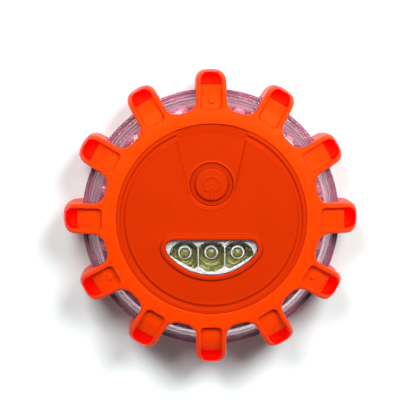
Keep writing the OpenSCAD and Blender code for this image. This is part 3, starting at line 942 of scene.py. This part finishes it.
def screw_parts(head_r, head_h, r, length, pitch):
    """Pan head with a cross recess below z = 0 and a threaded shank above it."""
    def head(p):
        x, y, z = p[:, 0], p[:, 1], p[:, 2]
        q = np.hypot(x, y)
        crown = np.sqrt(q * q + (z - head_h * 1.6) ** 2) - head_h * 2.6
        d = rmax(rmax(q - head_r, crown, 0.25), z, 0.05)
        depth = -0.45 * head_h
        cross = np.minimum(np.maximum(np.abs(x) - head_r * 0.13, np.abs(y) - head_r * 0.6),
                           np.maximum(np.abs(y) - head_r * 0.13, np.abs(x) - head_r * 0.6))
        taper = (z + head_h) * 0.45
        return rmax(d, -np.maximum(cross + taper, z - depth), 0.05)

    g = 0.16 * 1
    p, q, _ = net(head, (steps(-head_r - 0.3, g, head_r + 0.3), steps(-head_r - 0.32, g, head_r + 0.28),
                         steps(-head_h - 0.3, g, 0.3)))
    return [(p, [tuple(f) for f in q]), threaded(r, r * 0.78, -0.3, length, pitch)]


def screw_set(name, at, z, parts, flip=False):
    shells = []
    for x, y in at:
        for v, f in parts:
            v = v * np.array([1, -1, -1]) if flip else v
            shells.append((v + np.array([x, y, z]), f))
    return by_angle(joined(name, shells), 35)


steel = paint("screw_look", (0.60, 0.60, 0.62), 0.28, metal=1.0, grain=1800, bump=0.08, spread=0.05, wear=0.1)
place(screw_set("door_screw_bodies", posts, 2.6, screw_parts(2.3, 1.7, 1.25, 7.4, 1.0)), steel,
      "battery_door", ["door_screws"], "screw_steel")
place(screw_set("case_screw_bodies", bosses, 6.3, screw_parts(2.4, 1.7, 1.3, 20.4, 1.1)), steel,
      "housing", ["case_screws"], "screw_steel")
place(screw_set("board_screw_bodies", posts, 19.0, screw_parts(1.9, 1.3, 0.85, 6, 0.8), flip=True), steel,
      "housing", ["board_screws"], "screw_steel")

# ---------- battery door, magnet and hook ----------

HINGE_Y, HINGE_Z = 25, 2.2
magnet_r = 9.5


def door(p):
    x, y, z = p[:, 0], p[:, 1], p[:, 2]
    q = np.hypot(x, y)
    d = rmax(q - 33.0, np.maximum(0.6 - z, z - 2.4), 0.4)
    wall = rmax(np.maximum(q - bay_r + 0.2, bay_r - 1.6 - q), z - 4.2, 0.3)
    wall = np.maximum(wall, 1.0 - z)
    d = rmin(d, wall, 0.3)
    boss = rmax(q - magnet_r - 1.7, np.maximum(-z, z - 4.7), 0.5)
    d = rmin(d, boss, 0.6)
    box = rmax(rbox(x, y - 17.8, 10.6, 10.8, 1.4), np.maximum(1.0 - z, z - 4.8), 0.4)
    d = np.minimum(d, box)
    ear = rmax(rbox(np.abs(x) - 10.6, y - HINGE_Y, 1.0, 2.0, 0.3), np.maximum(1.0 - z, z - 4.3), 0.2)
    d = np.minimum(d, ear)
    for px, py in posts:
        e = np.hypot(x - px, y - py)
        post = rmax(np.maximum(e - 3.2, q - bay_r + 0.6), np.maximum(1.0 - z, z - 4.0), 0.2)
        d = rmin(d, post, 0.2)
    d = rmax(d, -np.maximum(q - magnet_r - 0.05, 0.7 - z), 0.1)
    recess = np.maximum(rbox(x, y - 19.95, 9.8, 8.05, 1.0), z - 4.0)
    d = rmax(d, -recess, 0.35)
    d = np.maximum(d, -np.maximum(np.hypot(y - HINGE_Y, z - HINGE_Z) - 0.82, np.abs(x) - 11.2))
    for px, py in posts:
        e = np.hypot(x - px, y - py)
        d = rmax(d, 1.45 - e, 0.1)
        d = rmax(d, -np.maximum(e - 2.6, z - 2.6), 0.25)
    return d


cell = 0.42 * COARSE
door_obj = implicit("door_plate", door, (
    steps(-33.8, cell, 33.8),
    steps(-33.75, cell, 33.85),
    steps(-0.5, 0.3, 5.3),
))
place(door_obj, plate, "battery_door", ["battery_door"], "cap_plastic")


def hook(p):
    x, y, z = p[:, 0], p[:, 1], p[:, 2] - HINGE_Z
    barrel = rmax(np.hypot(y - HINGE_Y, z) - 1.6, np.abs(x) - 9.4, 0.3)
    outer_edge = rbox(x, y - 20.3, 9.2, 7.7, 4.4)
    inner_edge = rbox(x, y - 19.15, 6.2, 3.75, 2.0)
    loop = rmax(rmax(outer_edge, -inner_edge, 0.6), np.abs(z) - 1.2, 0.9)
    loop = np.maximum(loop, y - HINGE_Y)
    d = rmin(barrel, loop, 0.5)
    return np.maximum(d, 0.85 - np.hypot(y - HINGE_Y, z))


cell = 0.3 * COARSE
hook_obj = implicit("hook_bail", hook, (
    steps(-9.9, cell, 9.9),
    steps(12.1, cell, 27.1),
    steps(HINGE_Z - 2.1, cell, HINGE_Z + 2.1),
))
hook_look = paint("hook_look", ORANGE, 0.36, bump=0.06, depth=0.0001, grain=1500, spread=0.04, wear=0.08,
                  sheen=GLOW, ior=1.4)
place(hook_obj, hook_look, "hanging_hook", ["hanging_hook"], "hook_plastic")


def turned_piece(name, outline, seg, origin, axis, mat, body, node, slot, angle=35):
    v, f = lathe(rounded(outline, 4), seg)
    return place(by_angle(solid(name, turned(v, origin, axis), f), angle), mat, body, [node], slot)


turned_piece("hook_pin_body", [(0, 0, 0), (0.8, 0, 0.2), (0.8, 22.2, 0.2), (0, 22.2, 0)], 32,
             (-11.1, HINGE_Y, HINGE_Z), (1, 0, 0), steel, "battery_door", "hook_pin", "screw_steel")
nickel = paint("magnet_look", (0.52, 0.52, 0.55), 0.22, metal=1.0, grain=1200, bump=0.05, spread=0.06,
               wear=0.1)
keeper = paint("keeper_look", (0.45, 0.45, 0.46), 0.38, metal=1.0, grain=1500, bump=0.12, spread=0.1,
               brushed=True)
turned_piece("magnet_disc", [(0, 0, 0), (magnet_r, 0, 0.3), (magnet_r, 3.2, 0.3), (0, 3.2, 0)], 96,
             (0, 0, 0.7), (0, 0, 1), nickel, "battery_door", "magnet", "magnet_iron")
turned_piece("keeper_disc", [(0, 0, 0), (magnet_r, 0, 0.12), (magnet_r, 0.8, 0.12), (0, 0.8, 0)], 96,
             (0, 0, 3.9), (0, 0, 1), keeper, "battery_door", "magnet_keeper", "keeper_steel")
silicone = paint("door_gasket_look", (0.03, 0.03, 0.032), 0.6, grain=1500, bump=0.1, spread=0.1)
door_seal = [(31.3, 0, 0.3), (32.7, 0, 0.3), (32.7, 1.2, 0.5), (31.3, 1.2, 0.5)]
turned_piece("door_gasket_ring", door_seal, 192, (0, 0, 2.4), (0, 0, 1), silicone, "battery_door",
             "door_gasket", "black_rubber")
rose = clear("rose_gasket_look", (0.55, 0.30, 0.40), 0.25, 1.3, (0.7, 0.45, 0.55), haze=0.5,
             cloud=(0.42, 0.16, 0.24))
seam_cord = [(44.25, 0, 0.2), (44.85, 0, 0.2), (44.85, 1.1, 0.2), (44.25, 1.1, 0.2)]
turned_piece("seam_gasket_cord", seam_cord, 240, (0, 0, 15.9), (0, 0, 1), rose, "housing", "seam_gasket",
             "rose_silicone")


# ---------- cells and springs ----------

def band_mask(lo, hi):
    """1 between lo and hi along x, 0 past them (millimetres)."""
    def mask(nt, tex):
        xyz = nt.nodes.new("ShaderNodeSeparateXYZ")
        wire(nt, tex, xyz.inputs[0])
        m = nt.nodes.new("ShaderNodeMath")
        m.operation = "MULTIPLY"
        wire(nt, ramp(nt, xyz.outputs["X"], (lo - 0.02) * MM, (lo + 0.02) * MM, 0, 1), m.inputs[0])
        wire(nt, ramp(nt, xyz.outputs["X"], (hi - 0.02) * MM, (hi + 0.02) * MM, 1, 0), m.inputs[1])
        return m.outputs[0]
    return mask


AAA_OUTLINE = [(0, 0.25, 0), (3.6, 0.25, 0.1), (4.0, 0, 0.1), (5.0, 0, 0.4), (5.05, 0.9, 0.1),
               (5.25, 0.95, 0.1), (5.25, 42.5, 0.5), (4.6, 43.0, 0.2), (4.4, 43.5, 0.2), (1.9, 43.5, 0.15),
               (1.9, 44.5, 0.25), (0, 44.5, 0)]
for number, (cy, way) in enumerate([(-CELL_PITCH, 1), (0, -1), (CELL_PITCH, 1)], 1):
    lo, hi = (-19.1, 23.0) if way > 0 else (-23.0, 19.1)
    jacket_look = paint("cell_look_%d" % number, (0.05, 0.09, 0.13), 0.32, grain=900, bump=0.04, spread=0.12,
                        coat=0.4, wear=0.1)
    gold = band_mask(lo, hi - 9) if way > 0 else band_mask(lo + 9, hi)
    tint_by(jacket_look, gold, (0.45, 0.30, 0.05))
    tint_by(jacket_look, band_mask(lo, hi), (0.62, 0.62, 0.64))
    turned_piece("cell_%d" % number, AAA_OUTLINE, 64, (-way * 20, cy, CELL_Z), (way, 0, 0), jacket_look,
                 "housing", "aaa_cell_%d" % number, "cell_jacket")


def coil(r0, r1, h, turns, wire_r):
    """Round wire wound into a tapering spring standing on z = 0."""
    sides = 10
    n = turns * 36
    verts, faces = [], []
    for i in range(n + 1):
        u = i / n
        a = 2 * math.pi * turns * u
        ease = min(1, max(0, (u - 0.12) / 0.76))
        r, z = r0 + (r1 - r0) * u, h * ease
        for k in range(sides):
            b = 2 * math.pi * k / sides
            rr = r + wire_r * math.cos(b)
            verts.append((rr * math.cos(a), rr * math.sin(a), z + wire_r * math.sin(b)))
    for i in range(n):
        for k in range(sides):
            j = (k + 1) % sides
            faces.append((i * sides + k, (i + 1) * sides + k, (i + 1) * sides + j, i * sides + j))
    faces.append(tuple(range(sides)))
    faces.append(tuple(range(n * sides, (n + 1) * sides))[::-1])
    return np.array(verts, float), faces


spring_look = paint("spring_look", (0.66, 0.66, 0.68), 0.25, metal=1.0, grain=2000, bump=0.08, spread=0.05)
v, f = coil(3.4, 2.0, 3.7, 3, 0.3)
coils = [(turned(v, (side * (SPRING_X - 0.4), cy, CELL_Z), (-side, 0, 0)), f) for cy, side in
         ((-CELL_PITCH, -1), (0, 1), (CELL_PITCH, -1))]
springs = by_angle(joined("spring_wires", coils), 60)
place(springs, spring_look, "housing", ["contact_springs"], "spring_steel")

# ---------- carried-over CAD parts ----------

board_look = paint("board_look", (0.01, 0.13, 0.045), 0.35, grain=1200, bump=0.06, spread=0.08, coat=0.3)
nt = board_look.node_tree
bricks = nt.nodes.new("ShaderNodeTexBrick")
bricks.inputs["Scale"].default_value = 300
bricks.inputs["Mortar Size"].default_value = 0.05
bricks.inputs["Color1"].default_value = (1, 1, 1, 1)
bricks.inputs["Color2"].default_value = (0.93, 0.93, 0.93, 1)
bricks.inputs["Mortar"].default_value = (0, 0, 0, 1)
wire(nt, next(n for n in nt.nodes if n.type == "TEX_COORD").outputs["Object"], bricks.inputs["Vector"])
tint_by(board_look, lambda tree, tex: bricks.outputs["Color"], (0.03, 0.22, 0.08))
contact_look = paint("plate_look", (0.66, 0.66, 0.68), 0.3, metal=1.0, grain=1400, bump=0.06, spread=0.05,
                     brushed=True)
switch_look = paint("switch_look", (0.02, 0.02, 0.022), 0.4, grain=1800, bump=0.08, spread=0.1)
plunger_look = paint("plunger_look", (0.03, 0.03, 0.032), 0.35, grain=1800, bump=0.08, spread=0.1)
chip_look = paint("chip_look", (0.015, 0.015, 0.017), 0.5, grain=2400, bump=0.15, spread=0.15)
parts_look = paint("parts_look", (0.16, 0.13, 0.10), 0.4, grain=1600, bump=0.05, spread=0.2)
# each CAD part's material and the width of the bevel on its edges, in millimetres
own_looks = {
    "main_board": (board_look, 0.12),
    "contact_plates": (contact_look, 0.1),
    "tact_switch": (switch_look, 0.12),
    "switch_plunger": (plunger_look, 0.15),
    "flasher_chip": (chip_look, 0.08),
    "board_parts": (parts_look, 0.1),
    "torch_led_leads": (steel, 0.06),
    "flare_led_leads": (steel, 0.06),
}
for node, (look, edge) in own_looks.items():
    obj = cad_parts[node]
    wear_it(obj, look)
    m = obj.modifiers.new("edges", "BEVEL")
    m.width, m.segments, m.limit_method, m.angle_limit = edge * MM, 2, "ANGLE", math.radians(40)

# ---------- stage ----------

scene = bpy.context.scene
world = bpy.data.worlds.new("studio")
world.use_nodes = True
world.node_tree.nodes["Background"].inputs["Color"].default_value = (1, 1, 1, 1)
world.node_tree.nodes["Background"].inputs["Strength"].default_value = 0.14
scene.world = world
scene.view_settings.view_transform = "Standard"

floor_mesh = bpy.data.meshes.new("floor")
floor_mesh.from_pydata([(-2, -2, 0), (2, -2, 0), (2, 2, 0), (-2, 2, 0)], [], [(0, 1, 2, 3)])
floor = bpy.data.objects.new("floor", floor_mesh)
scene.collection.objects.link(floor)
floor.location.z = -0.0002
floor_look = paint("floor_look", (0.84, 0.90, 0.90), 0.9, bump=0.02, grain=200, spread=0.005, spec=0.1)
# the lamps don't reach the far floor, so it glows to stay pale
nt = floor_look.node_tree
spot = next(n for n in nt.nodes if n.type == "TEX_COORD").outputs["Object"]
far = radial_mask(nt, spot, [(0, 0)], 160, 800)
glow = next(n for n in nt.nodes if n.type == "BSDF_PRINCIPLED").inputs
glow["Emission Color"].default_value = (1, 1, 1, 1)
wire(nt, ramp(nt, far, 0, 1, 0, 0.8), glow["Emission Strength"])
wear_it(floor, floor_look)


def lamp(name, at, size, power):
    """Square lamp at a place in metres, turned towards the object."""
    data = bpy.data.lights.new(name, "AREA")
    data.shape = "SQUARE"
    data.size = size
    data.energy = power
    obj = bpy.data.objects.new(name, data)
    scene.collection.objects.link(obj)
    obj.location = at
    towards = Vector((0, 0, 0.01)) - Vector(at)
    obj.rotation_euler = towards.to_track_quat("-Z", "Y").to_euler()


lamp("key_left", (-0.17, 0.28, 0.55), 0.24, 3.1)
lamp("key_right", (0.23, 0.27, 0.55), 0.24, 4.2)

cam_data = bpy.data.cameras.new("camera")
cam = bpy.data.objects.new("camera", cam_data)
scene.collection.objects.link(cam)
scene.camera = cam
# the camera leans a few degrees up and to the left, as the photo does
TILT_X, TILT_Y, DIST = -1.7, 5.1, 0.62
aim = np.array([-0.0001, 0.0019, seam * MM])
direction = np.array([math.tan(math.radians(TILT_X)), math.tan(math.radians(TILT_Y)), 1.0])
direction /= np.linalg.norm(direction)
at = aim + direction * DIST
zaxis = direction
xaxis = np.cross((0, 1, 0), zaxis)
xaxis /= np.linalg.norm(xaxis)
yaxis = np.cross(zaxis, xaxis)
cam.matrix_world = Matrix([
    [xaxis[0], yaxis[0], zaxis[0], at[0]],
    [xaxis[1], yaxis[1], zaxis[1], at[1]],
    [xaxis[2], yaxis[2], zaxis[2], at[2]],
    [0, 0, 0, 1],
])
IMAGE_PX, PX_PER_MM, SENSOR = 420, 2.793, 36
cam_data.sensor_width = SENSOR
cam_data.lens = SENSOR * DIST / (IMAGE_PX / PX_PER_MM * MM)
